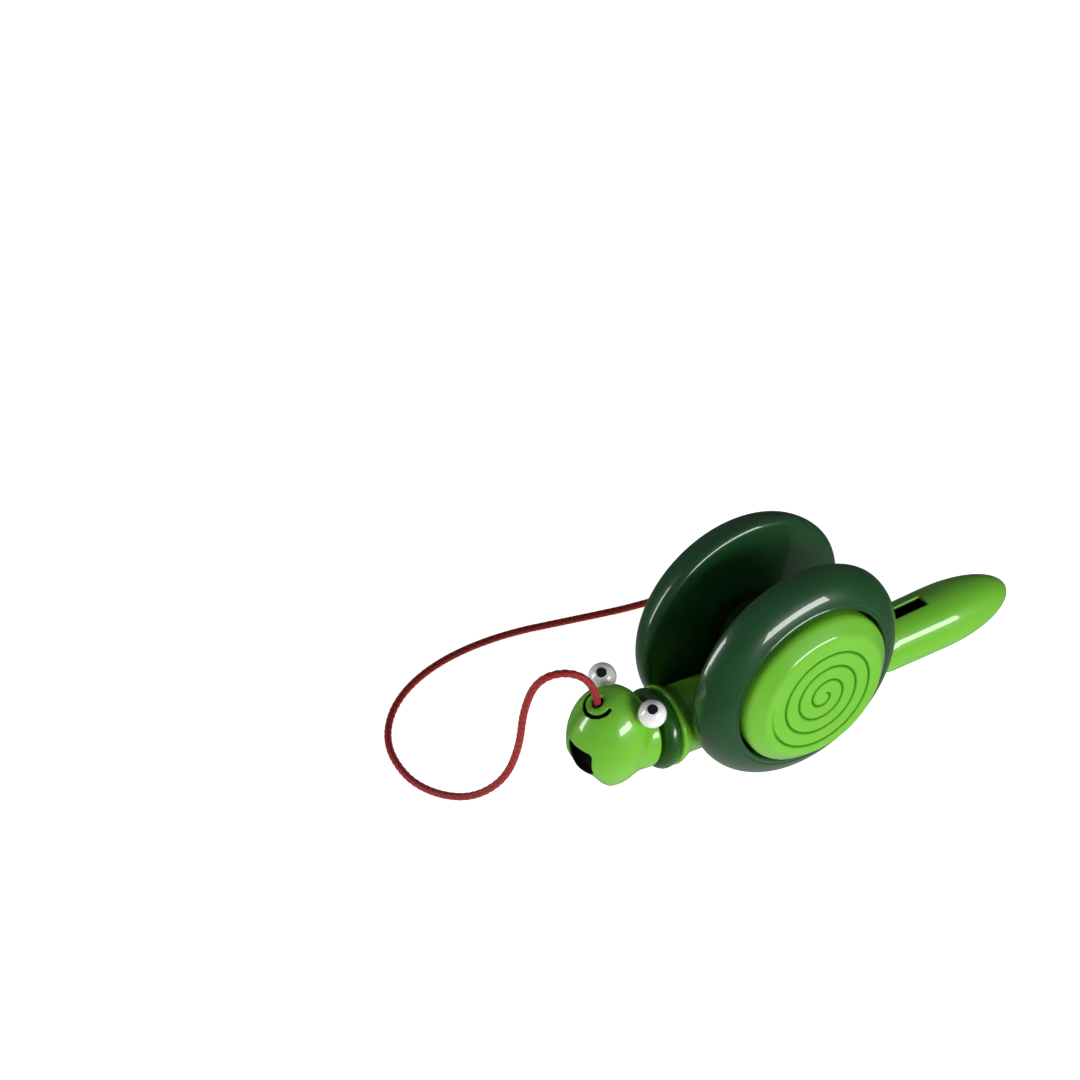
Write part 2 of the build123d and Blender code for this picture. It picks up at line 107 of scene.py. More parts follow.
RING_RADIUS, RING_HALF_THICKNESS = 10.4, 2.1
SLOT_HALF_WIDTH = 1.75
SLOT_EDGE_ROUND = 0.3
TONGUE_HALF_HEIGHT = 4.5
TONGUE_SPACE = 0.7            # above and below the tongue in the ring, where it nods

EGG_RADIUS, EGG_HALF_HEIGHT = 10.25, 14.0
EGG_PLACE = (-13.9, 3.5)      # ahead of the neck pin and above it, along the spine
NECK_RADIUS = 8.8
NECK_START, NECK_END = -14.5, -3.5
NECK_ROUND = 0.8
FACE_YAW = radians(6)         # the mouth is turned this far towards the toy's left
MOUTH_PLACE, MOUTH_HALF_SIZE, MOUTH_ROUND = (-11.0, -2.5), (5.0, 3.5), 2.2
MOUTH_HALF_WIDTH, MOUTH_END_ROUND, MOUTH_EDGE_ROUND = 4.4, 1.0, 0.55
CHIN_TOP, CHIN_SLOPE, CHIN_EDGE_ROUND = (-12.5, -0.14), radians(51.7), 1.2
LIP_CENTRE, LIP_RADIUS = (-0.9, -6.3), 7.4      # a flat round ledge under the mouth
LIP_HALF_THICKNESS, LIP_EDGE_ROUND, LIP_FILLET = 0.65, 0.5, 0.4
CORD_BORE_RADIUS = 1.3
CORD_BORE_LEAN = 15.0
CORD_BORE_FOOT = (2.45, -13.6)
KNOT_POCKET_RADIUS, KNOT_POCKET_DEPTH = 3.0, 4.0
HOLE_EDGE_ROUND = 0.25

EYE_RADIUS = 3.5
EYES = {"left": (5.5, 11.4, 9.1), "right": (3.9, 9.9, -9.7)}    # aft, up and left of the egg's centre
DIMPLE_CLEARANCE, DIMPLE_EDGE_ROUND = 0.12, 0.3
PUPIL_RADIUS = 1.3
GAZE = {"left": (0.38, -0.22, 0.90), "right": (0.36, -0.30, 0.88)}

TAIL_RADIUS = 8.4
TAIL_FRONT_RADIUS = 8.2
TAIL_LENGTH = 40.7
TAIL_TAPER = 23.0
TAIL_SLOT_END = 12.6
TAIL_SLOT_EDGE_ROUND = 0.4

CORD_RADIUS = 1.0
CORD_ROUTE = [
    (0.0, -60.46, 38.1),
    (0.0, -61.3, 45.1),
    (-3.1, -66.8, 49.4),
    (-6.6, -73.0, 47.1),
    (-8.4, -76.2, 37.8),
    (-9.3, -77.5, 24.9),
    (-11.7, -80.8, 13.6),
    (-17.1, -87.0, 6.2),
    (-26.5, -92.4, 2.6),
    (-38.0, -95.0, 1.0),
    (-52.0, -92.5, 1.0),
    (-63.5, -82.0, 1.0),
    (-69.0, -66.0, 1.0),
    (-68.0, -47.0, 1.0),
    (-61.5, -28.0, 1.0),
    (-55.5, -10.0, 1.0),
    (-52.8, 8.6, 1.0),
]

# ---------------------------------------------------------------- meshes

TURN_STEPS = 240              # points round a turned piece
RELAX_ROUNDS, DRAW_STEPS = 6, 3


def mesh_piece(name, points, faces, normals=None, marks=None):
    """A smooth mesh from points in millimetres, with its own normals and its named point values."""
    mesh = bpy.data.meshes.new(name)
    mesh.from_pydata((np.asarray(points) * MM).tolist(), [], faces)
    mesh.shade_smooth()
    if normals is not None:
        mesh.normals_split_custom_set_from_vertices(np.asarray(normals).tolist())
    for mark, values in (marks or {}).items():
        layer = mesh.attributes.new(mark, "FLOAT", "POINT")
        layer.data.foreach_set("value", np.asarray(values, np.float32))
    piece = bpy.data.objects.new(name, mesh)
    bpy.context.scene.collection.objects.link(piece)
    return piece


def rounded(outline, steps=8):
    """Points along an outline of (along, radius, rounding) corners, each rounded off by an arc."""
    corner = np.array(outline, float)
    points = [corner[0, :2]]
    for before, here, after in zip(corner, corner[1:], corner[2:]):
        spot, size = here[:2], here[2]
        back, ahead = before[:2] - spot, after[:2] - spot
        back, ahead = back / np.linalg.norm(back), ahead / np.linalg.norm(ahead)
        turn = pi - np.arccos(np.clip(back @ ahead, -1, 1))
        if size == 0 or turn < 0.01:
            points.append(spot)
            continue
        reach = size * np.tan(turn / 2)
        inward = (back + ahead) / np.linalg.norm(back + ahead)
        hub = spot + inward * sqrt(reach**2 + size**2)
        first, last = spot + back * reach - hub, spot + ahead * reach - hub
        for share in np.linspace(0, 1, steps + 1):
            swing = np.sin((1 - share) * turn) * first + np.sin(share * turn) * last
            points.append(hub + swing / np.sin(turn))
    points.append(corner[-1, :2])
    return np.array(points)


def turned(name, outline, centre, axis, relief=None, closed=False):
    """Turn an outline of (along, radius) points about an axis, like work on a lathe.

    Relief gives how far each (radius, angle) sinks along the axis, and its share of full depth.
    """
    outline = np.asarray(outline, float)
    axis = np.array(axis, float)
    side = np.array((0.0, 1.0, 0.0)) if abs(axis[1]) < 0.9 else np.array((1.0, 0.0, 0.0))
    side = side - axis * (side @ axis)
    side /= np.linalg.norm(side)
    other = np.cross(axis, side)
    angle = np.linspace(0, 2 * pi, TURN_STEPS, endpoint=False)
    along = np.repeat(outline[:, :1], TURN_STEPS, 1)
    groove = np.zeros_like(along)
    if relief:
        sink, groove = relief(np.repeat(outline[:, 1:], TURN_STEPS, 1), angle[None, :])
        along = along - sink
    spoke = np.cos(angle)[:, None] * side + np.sin(angle)[:, None] * other
    grid = centre + along[..., None] * axis + outline[:, 1, None, None] * spoke
    back, ahead = grid - np.roll(grid, 1, 0), np.roll(grid, -1, 0) - grid
    if not closed:
        back[0], ahead[-1] = ahead[0], back[-1]
    span_back = np.linalg.norm(back, axis=2, keepdims=True) + 1e-9
    span_ahead = np.linalg.norm(ahead, axis=2, keepdims=True) + 1e-9
    tangent = ahead * span_back / span_ahead + back * span_ahead / span_back
    around = np.roll(grid, -1, 1) - np.roll(grid, 1, 1)
    normal = np.cross(around, tangent)
    poles = [row for row in (0, len(grid) - 1) if outline[row, 1] < 1e-6 and not closed]
    for row in poles:
        normal[row] = axis * (-1 if row == 0 else 1) * np.sign(outline[-1, 0] - outline[0, 0])
    normal /= np.linalg.norm(normal, axis=2, keepdims=True) + 1e-12
    count = len(grid)
    index = np.arange(count * TURN_STEPS).reshape(count, TURN_STEPS)
    for row in poles:
        index[row] = index[row, 0]
    faces = []
    for row in range(count if closed else count - 1):
        low, high = index[row], index[(row + 1) % count]
        for a, b, c, d in zip(low, np.roll(low, -1), np.roll(high, -1), high):
            ring = list(dict.fromkeys((int(a), int(b), int(c), int(d))))
            faces.append(ring)
    used = np.unique(np.concatenate([np.array(face) for face in faces]))
    renumber = np.zeros(count * TURN_STEPS, int)
    renumber[used] = np.arange(len(used))
    faces = [[int(renumber[i]) for i in face] for face in faces]
    flat = grid.reshape(-1, 3)[used], normal.reshape(-1, 3)[used], groove.ravel()[used]
    return mesh_piece(name, flat[0], faces, flat[1], {"groove": flat[2]})


def steepest(distance, points, step=0.01):
    """Gradient of a distance function, by small steps each way."""
    slope = np.empty_like(points)
    for way in range(3):
        shift = np.zeros(3)
        shift[way] = step
        slope[:, way] = (distance(points + shift) - distance(points - shift)) / (2 * step)
    return slope


def surface(name, distance, low, high, cell, marks=None):
    """Mesh the zero level of a distance function.

    Each grid cell that the level crosses gets one point, which is evened out and drawn onto the level.
    """
    ticks = [np.arange(a - 2 * cell, b + 3 * cell, cell) for a, b in zip(low, high)]
    grid = np.stack(np.meshgrid(*ticks, indexing="ij"), -1)
    inside = distance(grid.reshape(-1, 3)).reshape(grid.shape[:3]) < 0
    ends = (slice(None, -1), slice(1, None))
    filled = sum(inside[a, b, c].astype(int) for a in ends for b in ends for c in ends)
    mixed = (filled > 0) & (filled < 8)
    index = np.full(mixed.shape, -1)
    index[mixed] = np.arange(mixed.sum())
    points = grid[:-1, :-1, :-1][mixed] + cell / 2
    quads = []
    for way in range(3):
        first, second = (way + 1) % 3, (way + 2) % 3
        low_end, high_end = [slice(None)] * 3, [slice(None)] * 3
        low_end[way], high_end[way] = slice(None, -1), slice(1, None)
        crossing = np.argwhere(inside[tuple(low_end)] != inside[tuple(high_end)])
        rising = inside[tuple(crossing.T)]
        ring = []
        for back_first, back_second in ((1, 1), (0, 1), (0, 0), (1, 0)):
            cell_index = crossing.copy()
            cell_index[:, first] -= back_first
            cell_index[:, second] -= back_second
            ring.append(index[tuple(cell_index.T)])
        ring = np.stack(ring, 1)
        ring[~rising] = ring[~rising][:, ::-1]
        quads.append(ring)
    quads = np.concatenate(quads)
    ones, others = quads.ravel(), np.roll(quads, -1, 1).ravel()
    ones, others = np.concatenate([ones, others]), np.concatenate([others, ones])
    for turn in range(RELAX_ROUNDS):
        if turn:
            total = np.stack([np.bincount(ones, points[others, k], len(points)) for k in range(3)], 1)
            points = total / np.bincount(ones, minlength=len(points))[:, None]
        for _ in range(DRAW_STEPS):
            slope = steepest(distance, points)
            size = np.maximum((slope**2).sum(1), 0.1)
            move = slope * (distance(points) / size)[:, None]
            points = points - np.clip(move, -cell, cell)
    normals = steepest(distance, points)
    normals /= np.linalg.norm(normals, axis=1, keepdims=True)
    values = {mark: rule(points) for mark, rule in (marks or {}).items()}
    return mesh_piece(name, points, quads.tolist(), normals, values)


# ---------------------------------------------------------------- distance functions


def joined(one, other, fillet):
    """Both shapes, with a fillet where they meet."""
    a, b = np.maximum(fillet - one, 0), np.maximum(fillet - other, 0)
    return np.maximum(fillet, np.minimum(one, other)) - np.hypot(a, b)


def common(one, other, edge):
    """What two shapes share, with a rounded edge."""
    a, b = np.maximum(edge + one, 0), np.maximum(edge + other, 0)
    return np.minimum(-edge, np.maximum(one, other)) + np.hypot(a, b)


def without(one, other, edge):
    """One shape cut out of another, with a rounded edge."""
    return common(one, -other, edge)


def ellipsoid(x, y, z, sizes):
    """Distance to an ellipsoid, true near its surface."""
    a = np.sqrt((x / sizes[0]) ** 2 + (y / sizes[1]) ** 2 + (z / sizes[2]) ** 2)
    b = np.sqrt((x / sizes[0] ** 2) ** 2 + (y / sizes[1] ** 2) ** 2 + (z / sizes[2] ** 2) ** 2)
    return a * (a - 1) / np.maximum(b, 1e-9)


def rounded_slab(across, up, half_size, corner):
    """Distance to an upright rectangle with round corners."""
    a, b = np.abs(across) - half_size[0] + corner, np.abs(up) - half_size[1] + corner
    return np.hypot(np.maximum(a, 0), np.maximum(b, 0)) + np.minimum(np.maximum(a, b), 0) - corner


def smooth_step(value, start, end):
    """0 before start, 1 after end, and a smooth rise between them."""
    share = np.clip((value - start) / (end - start), 0, 1)
    return share * share * (3 - 2 * share)


class Side:
    """Lengthwise axes at a place: aft and up, leaning back by some degrees."""

    def __init__(self, place, lean):
        lean = radians(lean)
        self.place = np.array(place, float)
        self.aft = np.array((0, cos(lean), -sin(lean)))
        self.up = np.array((0, sin(lean), cos(lean)))

    def local(self, points):
        """Points as (aft, up, left) of this place."""
        arm = points - self.place
        return arm @ self.aft, arm @ self.up, arm[..., 0]

    def world(self, aft, up, left=0.0):
        """The place of a local point."""
        return self.place + aft * self.aft + up * self.up + np.array((left, 0, 0))


spine = Side(NECK_PIN, SPINE_LEAN)
egg = Side(spine.world(*EGG_PLACE), SPINE_LEAN)
neck = Side(NECK_PIN, HEAD_LEAN)
tail_side = Side(TAIL_PIN, TAIL_LEAN)
axle_side = Side(AXLE, SPINE_LEAN)
bore = Side(egg.world(*CORD_BORE_FOOT), SPINE_LEAN - CORD_BORE_LEAN)
eye_places = {name: egg.world(*place) for name, place in EYES.items()}

# The groove round the cord's hole lies square to the egg's surface there.
NOSE_PLACE = (-4.55, 12.5)
NOSE_GROOVE_RADIUS = 3.7
NOSE_GROOVE_HALF_WIDTH = 0.42
NOSE_GROOVE_DEPTH = 0.75
NOSE_GROOVE_END_ROUND, NOSE_GROOVE_EDGE_ROUND = 0.3, 0.2
NOSE_GROOVE_REACH = 3.0       # above and below the place where it is centred
NOSE_GROOVE_SPAN = radians(108)
HOLE_RIM_RADIUS, HOLE_RIM_DEPTH = 2.0, 2.0
nose_lean = np.degrees(np.arctan2(-NOSE_PLACE[0] / EGG_RADIUS**2, NOSE_PLACE[1] / EGG_HALF_HEIGHT**2))
nose = Side(egg.world(*NOSE_PLACE), SPINE_LEAN - nose_lean)


def head_form(points):
    """The head before anything is cut into it: an egg on end and a round neck behind it."""
    aft, up, left = egg.local(points)
    shape = ellipsoid(aft, up, left, (EGG_RADIUS, EGG_HALF_HEIGHT, EGG_RADIUS))
    aft, up, left = neck.local(points)
    ends = np.maximum(NECK_START - aft, aft - NECK_END)
    return joined(shape, common(np.hypot(up, left) - NECK_RADIUS, ends, NECK_ROUND), NECK_ROUND)


def face_local(points):
    """Points as (aft, up, left) of the face, which is turned a little to one side."""
    aft, up, left = egg.local(points)
    return aft * cos(FACE_YAW) - left * sin(FACE_YAW), up, aft * sin(FACE_YAW) + left * cos(FACE_YAW)


def mouth_form(points):
    """The notch across the front of the head."""
    aft, up, left = face_local(points)
    notch = rounded_slab(aft - MOUTH_PLACE[0], up - MOUTH_PLACE[1], MOUTH_HALF_SIZE, MOUTH_ROUND)
    return common(notch, np.abs(left) - MOUTH_HALF_WIDTH, MOUTH_END_ROUND)


def chin_form(points):
    """What is cut away in front of the sloping chin."""
    aft, up, _ = face_local(points)
    return (aft - CHIN_TOP[0]) * sin(CHIN_SLOPE) + (up - CHIN_TOP[1]) * cos(CHIN_SLOPE)


def lip_form(points):
    """The small ledge that stands out of the chin under the mouth."""
    aft, up, left = face_local(points)
    disc = np.hypot(aft - LIP_CENTRE[0], left) - LIP_RADIUS
    return common(disc, np.abs(up - LIP_CENTRE[1]) - LIP_HALF_THICKNESS, LIP_EDGE_ROUND)


def nose_groove_form(points):
    """A C-shaped groove about the front of the cord's hole."""
    aft, up, left = nose.local(points)
    ring = np.abs(np.hypot(aft, left) - NOSE_GROOVE_RADIUS) - NOSE_GROOVE_HALF_WIDTH
    bearing = np.abs(np.arctan2(left, -aft))
    ends = (bearing - NOSE_GROOVE_SPAN) * NOSE_GROOVE_RADIUS
    return np.maximum(common(ring, ends, NOSE_GROOVE_END_ROUND), np.abs(up) - NOSE_GROOVE_REACH)


def bore_form(points):
    """The cord's bore, its opened-out rim and the knot's pocket."""
    aft, up, left = bore.local(points)
    around = np.hypot(aft, left)
    pocket = np.maximum(around - KNOT_POCKET_RADIUS, up - KNOT_POCKET_DEPTH)
    aft, up, left = nose.local(points)
    rim = (np.hypot(aft, left) - HOLE_RIM_RADIUS - up) * sqrt(0.5)
    return np.minimum(np.minimum(around - CORD_BORE_RADIUS, pocket), np.maximum(rim, -up - HOLE_RIM_DEPTH))


def dimple_form(points):
    """Round seats that the eye beads are glued into."""
    gaps = [np.linalg.norm(points - place, axis=-1) - EYE_RADIUS for place in eye_places.values()]
    return np.minimum(*gaps) - DIMPLE_CLEARANCE


def head_distance(points):
    """The egg with its chin and lip, less the mouth, the groove, the bore and the eyes' seats."""
    form = common(head_form(points), -chin_form(points), CHIN_EDGE_ROUND)
    form = joined(form, lip_form(points), LIP_FILLET)
    shape = without(form, mouth_form(points), MOUTH_EDGE_ROUND)
    groove = np.maximum(nose_groove_form(points), -form - NOSE_GROOVE_DEPTH)
    shape = without(shape, groove, NOSE_GROOVE_EDGE_ROUND)
    shape = without(shape, bore_form(points), HOLE_EDGE_ROUND)
    return without(shape, dimple_form(points), DIMPLE_EDGE_ROUND)


def head_black_and_shade(points):
    """Where the head is black: black paint in the mouth and on its lip, and painted shade in the groove and
    the cord's hole.
    """
    depth = -head_form(points)
    mouth = smooth_step(depth, 0.55, 0.85) * (mouth_form(points) < 0.4)
    lip = 1 - smooth_step(lip_form(points), 0.08, 0.22)
    # Painted shade: the nose groove and the cord's hole go black below their edges.
    groove = smooth_step(depth, 0.15, 0.4) * (nose_groove_form(points) < 0.3)
    hole = smooth_step(depth, 0.3, 0.6) * (bore_form(points) < 0.3)
    return np.maximum(np.maximum(mouth, lip), np.maximum(groove, hole))


def tail_form(points):
    """The tail before its slot: a round front, a nearly straight barrel and a long taper."""
    aft, up, left = tail_side.local(points)
    around = np.hypot(up, left)
    taper_start = TAIL_LENGTH - TAIL_TAPER
    swell = (TAIL_RADIUS - TAIL_FRONT_RADIUS) * smooth_step(aft, 0, taper_start)
    front = np.hypot(np.minimum(aft, 0), around) - TAIL_FRONT_RADIUS - swell
    taper = ellipsoid(np.maximum(aft - taper_start, 0), up, left, (TAIL_TAPER, TAIL_RADIUS, TAIL_RADIUS))
    return np.where(aft > taper_start, taper, front)


def tail_slot_form(points):
    """The slot that the tongue sits in, right through from top to bottom."""
    aft, _, left = tail_side.local(points)
    return common(np.abs(left) - SLOT_HALF_WIDTH, aft - TAIL_SLOT_END, SLOT_EDGE_ROUND)


def tail_distance(points):
    """The tail with its slot."""
    return without(tail_form(points), tail_slot_form(points), TAIL_SLOT_EDGE_ROUND)


def tail_slot_shade(points):
    """Where the tail gets painted shade: black on the slot's walls, below the edge."""
    return smooth_step(-tail_form(points), 0.35, 0.8) * (tail_slot_form(points) < 0.3)


def trunk_distance(points):
    """A round bar, flared at the neck, with a flat seat for the axle block and a pocket for the tongue."""
    aft, up, left = spine.local(points)
    collar = 1 - smooth_step(aft, TRUNK_FRONT, TRUNK_FRONT + COLLAR_LENGTH)
    flare = (TRUNK_COLLAR_RADIUS - TRUNK_RADIUS) * collar
    ends = np.maximum(TRUNK_FRONT - aft, aft - TRUNK_REAR)
    around = (np.hypot(up, left) - TRUNK_RADIUS - flare) * 0.9      # scaled, because the flare leans
    bar = common(around, ends, TRUNK_END_ROUND)
    seat_aft = aft - spine.local(AXLE)[0]
    seat = np.maximum(np.abs(seat_aft) - BLOCK_HALF_LENGTH, SEAT_HEIGHT - up)
    bar = without(bar, seat, SEAT_EDGE_ROUND)
    pocket = np.maximum(np.hypot(aft, up) - TONGUE_HALF_HEIGHT - 0.4, np.abs(left) - SLOT_HALF_WIDTH)
    return without(bar, pocket, SEAT_EDGE_ROUND)


def block_distance(points):
    """An upright block with a round top and the axle's bore."""
    aft, up, left = axle_side.local(points)
    arch = np.where(up > 0, np.hypot(aft, up), np.abs(aft)) - BLOCK_HALF_LENGTH
    arch = np.maximum(arch, SEAT_HEIGHT - AXLE_ABOVE_TRUNK - up)
    block = common(arch, np.abs(left) - BLOCK_HALF_WIDTH, BLOCK_EDGE_ROUND)
    return without(block, np.hypot(aft, up) - AXLE_RADIUS - AXLE_CLEARANCE, 0.3)


def ring_distance(points):
    """A disc with a round rim and an upright slot for the tongue."""
    aft, up, left = spine.local(points)
    over = np.maximum(np.hypot(up, left) - RING_RADIUS + RING_HALF_THICKNESS, 0)
    disc = np.hypot(over, aft) - RING_HALF_THICKNESS
    slot = np.maximum(np.abs(left) - SLOT_HALF_WIDTH, np.abs(up) - TONGUE_HALF_HEIGHT - TONGUE_SPACE)
    return without(disc, slot, 0.25)


# ---------------------------------------------------------------- turned outlines

SPIRAL_PITCH = 4.04
SPIRAL_START_RADIUS = 1.53    # the radius at angle 0
SPIRAL_START, SPIRAL_END = radians(-51), radians(1290)
SPIRAL_HALF_WIDTH = 0.5
SPIRAL_DEPTH = 0.45
LINE_RADIUS, LINE_WIDTH, LINE_DEPTH = 23.35, 0.22, 0.22


def wheel_outline():
    """Half section of a wheel, out from its inner face: crest, shoulder, lip and the cap's recess."""
    base = WHEEL_RADIUS - SHOULDER_DROP
    lip = asin((RECESS_RADIUS + LIP_ROUND - base) / SHOULDER_DROP)
    swing = np.linspace(pi / 2, lip, 60)
    shoulder = np.stack((WHEEL_CREST + (WHEEL_OUTER_FACE - WHEEL_CREST) * np.cos(swing),
                         base + SHOULDER_DROP * np.sin(swing)), 1)
    shoulder[:, 0] -= LINE_DEPTH * np.exp(-(((shoulder[:, 1] - LINE_RADIUS) / LINE_WIDTH) ** 2))
    edge = np.linspace(0, pi / 2, 8)[1:]
    lip_round = shoulder[-1] + LIP_ROUND * np.stack((np.cos(edge) - 1, -np.sin(edge)), 1)
    crest_round = WHEEL_CREST - WHEEL_INNER_FACE
    swing = np.linspace(pi, pi / 2, 14)[:-1]
    crest = np.stack((WHEEL_CREST + crest_round * np.cos(swing),
                      WHEEL_RADIUS - crest_round + crest_round * np.sin(swing)), 1)
    bore_line = [(CAP_FOOT, RECESS_RADIUS), (CAP_FOOT, AXLE_RADIUS), (WHEEL_INNER_FACE, AXLE_RADIUS)]
    face = [(WHEEL_INNER_FACE, radius) for radius in (12, 20, 26)]
    return np.concatenate((crest, shoulder, lip_round, bore_line, face))


def cap_outline():
    """Half section of a shell cap: foot, rim, bevel and flat face, from its foot to its middle."""
    rim = rounded([
        (CAP_FOOT, AXLE_RADIUS, 0),
        (CAP_FOOT, CAP_RADIUS, 0.2),
        (CAP_BEVEL_START, CAP_RADIUS, CAP_EDGE_ROUND),
        (CAP_TOP, CAP_FLAT_RADIUS, CAP_EDGE_ROUND),
        (CAP_TOP, 16.5, 0),
    ], steps=12)
    face = [(CAP_TOP, radius) for radius in np.linspace(16.5, 0, 111)[1:]]
    return np.concatenate(([(CAP_FOOT, 0)], rim, face))


def spiral_relief(hand):
    """The spiral routed into a cap's face, opening clockwise for hand 1."""

    def relief(radius, angle):
        lap = (-hand * angle) % (2 * pi)
        start = SPIRAL_START_RADIUS + SPIRAL_PITCH * lap / (2 * pi)
        off = (radius - start + SPIRAL_PITCH / 2) % SPIRAL_PITCH - SPIRAL_PITCH / 2
        travel = (radius - off - SPIRAL_START_RADIUS) / SPIRAL_PITCH * 2 * pi
        share = smooth_step(travel, SPIRAL_START - 0.3, SPIRAL_START + 0.3)
        share = share * (1 - smooth_step(travel, SPIRAL_END - 1.2, SPIRAL_END))
        share = share * np.maximum(1 - (off / SPIRAL_HALF_WIDTH) ** 2, 0) ** 1.5 * (radius < 16.9)
        return SPIRAL_DEPTH * share, share

    return relief


# ---------------------------------------------------------------- materials


def add(tree, kind, inputs=None, **settings):
    """Add a shader node, with its settings and its inputs, which are values or another node's outputs."""
    made = tree.nodes.new("ShaderNode" + kind)
    for key, value in settings.items():
        setattr(made, key, value)
    for key, value in (inputs or {}).items():
        if isinstance(value, bpy.types.NodeSocket):
            tree.links.new(value, made.inputs[key])
        else:
            made.inputs[key].default_value = value
    return made


def maths(tree, operation, *values):
    """The result of a Math node."""
    return add(tree, "Math", dict(enumerate(values)), operation=operation).outputs[0]


def blended(tree, share, first, second):
    """A colour between two, each a value or another node's output."""
    inputs = {0: share, 6: first, 7: second}
    return add(tree, "Mix", inputs, data_type="RGBA").outputs[2]


def colour(red, green, blue):
    """A screen colour of 0 to 255 as the shader wants it."""
    def linear(value):
        value /= 255
        return value / 12.92 if value <= 0.04045 else ((value + 0.055) / 1.055) ** 2.4

    return (linear(red), linear(green), linear(blue), 1.0)


def blank(name, **inputs):
    """A new material, its node tree and its shader."""
    material = bpy.data.materials.new(name)
    material.use_nodes = True
    tree = material.node_tree
    shader = tree.nodes["Principled BSDF"]
    for key, value in inputs.items():
        shader.inputs[key.replace("_", " ")].default_value = value
    return material, tree, shader


def surface_place(tree):
    """Places in the toy's own frame."""
    return add(tree, "TexCoord").outputs["Object"]


def bumps(tree, shader, *layers):
    """Stack bump layers of (height, depth in millimetres) onto a shader."""
    normal = None
    for height, depth in layers:
        inputs = {"Height": height, "Distance": depth * MM, "Strength": 1.0}
        if normal is not None:
            inputs["Normal"] = normal
        normal = add(tree, "Bump", inputs).outputs[0]
    tree.links.new(normal, shader.inputs["Normal"])
    tree.links.new(normal, shader.inputs["Coat Normal"])


def noise(tree, scale, detail, **inputs):
    """A noise's value, at a place or along one measure W."""
    settings = {"noise_dimensions": "1D"} if "W" in inputs else {}
    return add(tree, "TexNoise", {**inputs, "Scale": scale, "Detail": detail}, **settings).outputs["Fac"]


def spread(tree, value, low, high):
    """A 0 to 1 value spread over a range."""
    return add(tree, "MapRange", {"Value": value, "To Min": low, "To Max": high}).outputs[0]


def lacquer(name, bright, deep, centre, axis, mark=None, mark_colour=None, gloss=1.0):
    """Gloss lacquer on turned wood: faint clouding, tool rings that show through, and a soft orange peel."""
    material, tree, shader = blank(name, Coat_Weight=gloss, Coat_Roughness=0.035, Coat_IOR=1.5, IOR=1.45,
                                   Specular_IOR_Level=0.1 + 0.4 * gloss)
    place = surface_place(tree)
    cloud = noise(tree, 60.0, 3.0, Vector=place)
    arm = add(tree, "VectorMath", {0: place, 1: centre * MM}, operation="SUBTRACT").outputs[0]
    along = add(tree, "VectorMath", {0: arm, 1: axis}, operation="DOT_PRODUCT").outputs["Value"]
    spin = add(tree, "VectorMath", {0: arm, 1: axis}, operation="CROSS_PRODUCT").outputs[0]
    around = add(tree, "VectorMath", {0: spin}, operation="LENGTH").outputs["Value"]
    travel = maths(tree, "ADD", along, around)
    rings = noise(tree, 1500.0, 2.0, W=travel)
    paint = blended(tree, cloud, deep, bright)
    streak = maths(tree, "ADD", 1.0, maths(tree, "MULTIPLY_ADD", rings, 0.10, -0.05))
    paint = add(tree, "HueSaturation", {"Color": paint, "Value": streak}).outputs[0]
    # A mark mixes in its colour here: black paint with painted shade on the head and tail, painted shade in
    # the caps' grooves.
    if mark:
        share = add(tree, "Attribute", attribute_name=mark).outputs["Fac"]
        paint = blended(tree, share, paint, mark_colour)
    tree.links.new(paint, shader.inputs["Base Color"])
    smudge = noise(tree, 140.0, 4.0, Vector=place)
    dull = 0.35 * (1 - gloss)
    tree.links.new(spread(tree, smudge, 0.29 + dull, 0.42 + dull), shader.inputs["Roughness"])
    peel = noise(tree, 420.0, 1.0, Vector=place)
    bumps(tree, shader, (rings, 0.001), (peel, 0.006))
    return material


def bare_wood(name, light, dark, grain):
    """Sanded wood with its grain along one direction."""
    material, tree, shader = blank(name, Roughness=0.6)
    place = surface_place(tree)
    stretched = add(tree, "VectorMath", {0: place, 1: grain}, operation="MULTIPLY").outputs[0]
    fibre = noise(tree, 900.0, 6.0, Vector=stretched)
    tree.links.new(blended(tree, fibre, dark, light), shader.inputs["Base Color"])
    bumps(tree, shader, (fibre, 0.03))
    return material


def plywood(name):
    """Three-ply: its layers lie across the toy."""
    material, tree, shader = blank(name, Roughness=0.65)
    place = surface_place(tree)
    across = add(tree, "SeparateXYZ", {0: place}).outputs[0]
    layer = maths(tree, "GREATER_THAN", maths(tree, "ABSOLUTE", across), 0.5 * MM)
    fibre = noise(tree, 1300.0, 5.0, Vector=place)
    light = blended(tree, fibre, colour(176, 138, 92), colour(212, 178, 130))
    dark = blended(tree, fibre, colour(120, 84, 52), colour(158, 116, 76))
    tree.links.new(blended(tree, layer, dark, light), shader.inputs["Base Color"])
    bumps(tree, shader, (fibre, 0.03))
    return material


def steel(name):
    """The pin's bright steel, finely scratched."""
    material, tree, shader = blank(name, Metallic=1.0, Base_Color=colour(196, 198, 200))
    scratch = noise(tree, 2500.0, 3.0, Vector=surface_place(tree))
    tree.links.new(spread(tree, scratch, 0.30, 0.45), shader.inputs["Roughness"])
    bumps(tree, shader, (scratch, 0.003))
    return material


def fibre_board(name):
    """The dark fibre of the washers."""
    material, tree, shader = blank(name, Roughness=0.7)
    fleck = noise(tree, 1600.0, 5.0, Vector=surface_place(tree))
    brown = blended(tree, fleck, colour(70, 44, 30), colour(128, 86, 58))
    tree.links.new(brown, shader.inputs["Base Color"])
    bumps(tree, shader, (fleck, 0.02))
    return material


